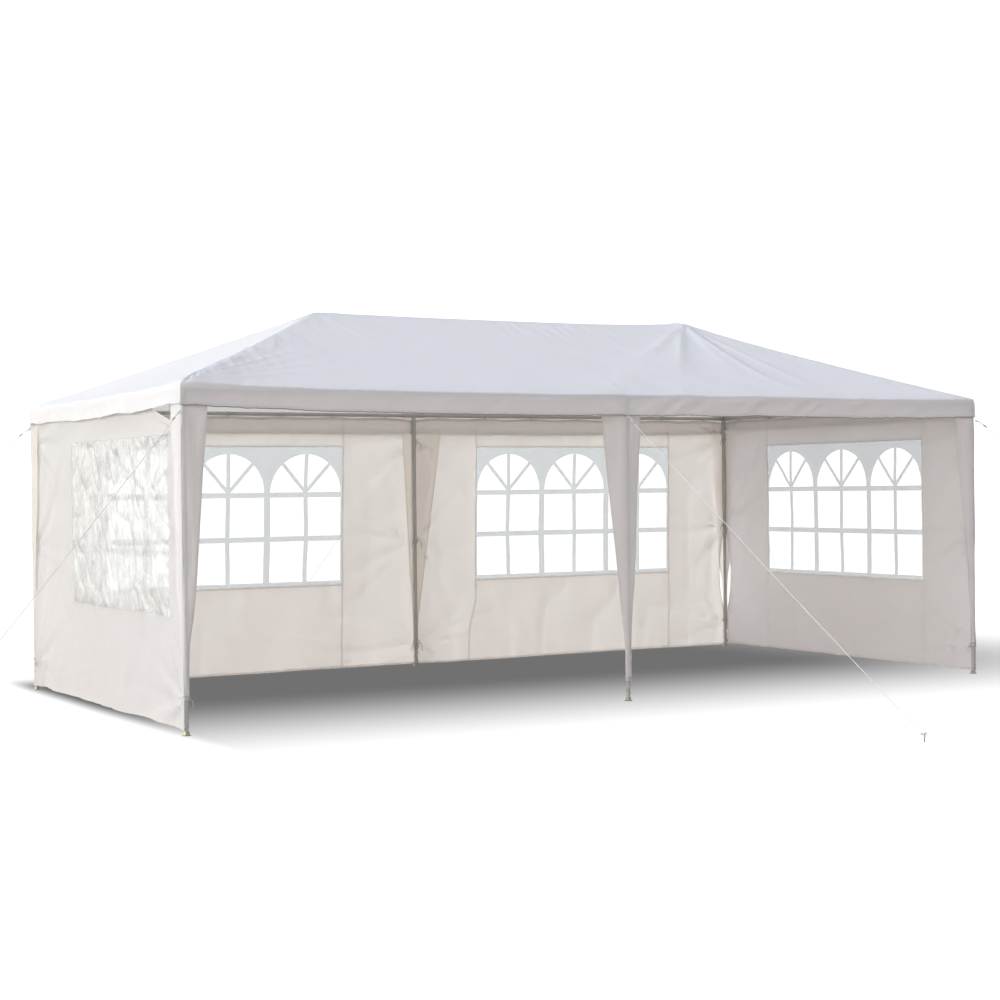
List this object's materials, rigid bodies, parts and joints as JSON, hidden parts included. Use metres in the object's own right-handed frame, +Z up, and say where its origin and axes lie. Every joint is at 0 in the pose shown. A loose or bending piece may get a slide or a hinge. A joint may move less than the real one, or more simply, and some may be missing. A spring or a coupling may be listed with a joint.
{
  "type": "party tent",
  "caption": "Rectangular party tent with a hipped fabric roof, tube legs, windowed walls on the back and both ends, an open front and guy ropes.",
  "frame": {"origin": "on the ground under the middle of the tent", "axes": "+X along the long front, towards the right-hand end seen from the open side; +Y from the open front to the back; +Z up"},
  "size_m": [10.046, 8.0554, 2.5584],
  "materials": {
    "coated_steel": "white powder coat",
    "tent_fabric": "white woven sheeting, slightly glossy",
    "wall_fabric": "white woven sheeting, warm by transmitted light",
    "window_film": "clear flexible film with a printed window pattern",
    "white_rope": "twisted cord",
    "foot_zinc": "pressed plate with yellow zinc passivation",
    "stake_steel": "bent wire"
  },
  "bodies": {
    "root": {"leg_front_left": "coated_steel", "leg_front_middle": "coated_steel", "leg_front_right": "coated_steel", "leg_back_left": "coated_steel", "leg_back_middle": "coated_steel", "leg_back_right": "coated_steel", "connector_front_left": "coated_steel", "connector_front_middle": "coated_steel", "connector_front_right": "coated_steel", "connector_back_left": "coated_steel", "connector_back_middle": "coated_steel", "connector_back_right": "coated_steel", "eave_tube_front_left": "coated_steel", "eave_tube_front_right": "coated_steel", "eave_tube_back_left": "coated_steel", "eave_tube_back_right": "coated_steel", "eave_tube_left": "coated_steel", "eave_tube_right": "coated_steel", "hip_tube_front_left": "coated_steel", "hip_tube_front_right": "coated_steel", "hip_tube_back_left": "coated_steel", "hip_tube_back_right": "coated_steel", "ridge_tube": "coated_steel", "peak_connector_left": "coated_steel", "peak_connector_right": "coated_steel", "roof_front": "tent_fabric", "roof_back": "tent_fabric", "roof_left_end": "tent_fabric", "roof_right_end": "tent_fabric", "valance_front": "tent_fabric", "valance_back": "tent_fabric", "valance_left": "tent_fabric", "valance_right": "tent_fabric", "leg_drape_front_left": "tent_fabric", "leg_drape_front_middle": "tent_fabric", "leg_drape_front_right": "tent_fabric", "leg_drape_back_left": "tent_fabric", "leg_drape_back_middle": "tent_fabric", "leg_drape_back_right": "tent_fabric", "wall_back_left": "wall_fabric", "wall_back_right": "wall_fabric", "wall_left_end": "wall_fabric", "wall_right_end": "wall_fabric", "window_back_left": "window_film", "window_back_right": "window_film", "window_left_end": "window_film", "window_right_end": "window_film", "guy_rope_front_left": "white_rope", "guy_rope_front_middle": "white_rope", "guy_rope_front_right": "white_rope", "guy_rope_back_left": "white_rope", "guy_rope_back_middle": "white_rope", "guy_rope_back_right": "white_rope"}
  },
  "joints": []
}
